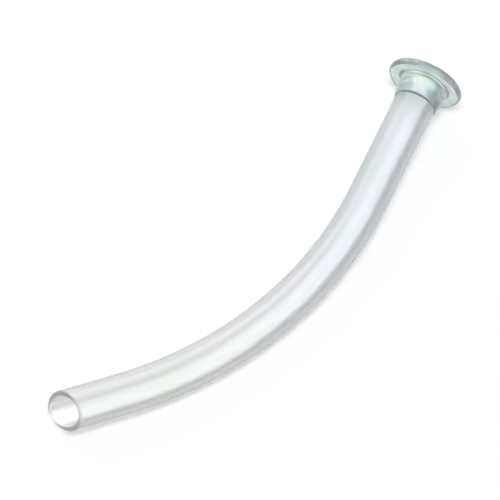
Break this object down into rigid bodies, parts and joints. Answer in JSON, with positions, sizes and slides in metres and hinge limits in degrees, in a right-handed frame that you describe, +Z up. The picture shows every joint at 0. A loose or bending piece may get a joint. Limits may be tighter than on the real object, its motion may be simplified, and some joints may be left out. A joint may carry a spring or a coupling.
{
  "type": "nasopharyngeal airway",
  "caption": "Clear curved soft tube with a bevelled rounded tip at one end and a round collared flange at the other, lying on its side.",
  "frame": {"origin": "middle of the airway's footprint, on the surface that it lies on", "axes": "+Z up, +X level from the tip towards the flange, +Y towards the inside of the bend"},
  "size_m": [0.1532, 0.0372, 0.022],
  "materials": {
    "clear_tube": "glossy clear soft PVC with a faint blue-grey tint",
    "clear_flange": "glossy clear moulded PVC with a faint green tint"
  },
  "bodies": {
    "root": {"airway_tube": "clear_tube", "flange": "clear_flange"}
  },
  "joints": []
}
